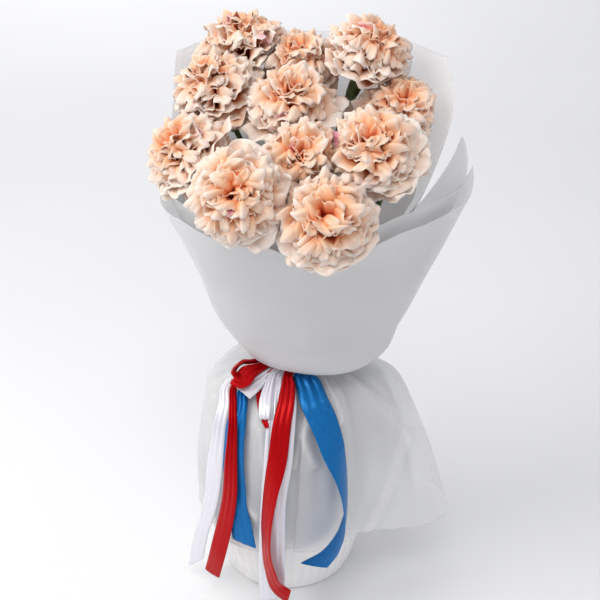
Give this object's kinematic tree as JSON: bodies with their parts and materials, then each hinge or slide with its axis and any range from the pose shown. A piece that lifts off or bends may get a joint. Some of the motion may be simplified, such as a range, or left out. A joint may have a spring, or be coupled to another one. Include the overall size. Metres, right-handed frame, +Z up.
{
  "type": "bunch of carnations",
  "caption": "Wrapped bunch of cream and peach carnations in translucent film, tied with satin ribbons and standing in a white fluted vase.",
  "frame": {"origin": "centre of the vase's foot, on the surface it stands on", "axes": "+Z up, +X to the right and -Y towards the viewer, as seen from the front of the bunch"},
  "size_m": [0.2631, 0.2552, 0.5097],
  "materials": {
    "petals": "soft, matt, cream to peach petals",
    "greenery": "waxy grey-green stems, calyces and leaves",
    "vase": "white glaze over upright flutes",
    "water": "clear",
    "film": "matt translucent white wrapping film",
    "satin_red": "satin ribbon",
    "satin_white": "satin ribbon",
    "satin_blue": "satin ribbon"
  },
  "bodies": {
    "root": {"bloom_01": "petals", "bloom_02": "petals", "bloom_03": "petals", "bloom_04": "petals", "bloom_05": "petals", "bloom_06": "petals", "bloom_07": "petals", "bloom_08": "petals", "bloom_09": "petals", "bloom_10": "petals", "bloom_11": "petals", "stem_01": "greenery", "stem_02": "greenery", "stem_03": "greenery", "stem_04": "greenery", "stem_05": "greenery", "stem_06": "greenery", "stem_07": "greenery", "stem_08": "greenery", "stem_09": "greenery", "stem_10": "greenery", "stem_11": "greenery", "vase": "vase", "water": "water", "film_outer": "film", "film_inner": "film", "film_collar": "film", "ribbon_red": "satin_red", "ribbon_white": "satin_white", "ribbon_blue": "satin_blue"}
  },
  "joints": []
}
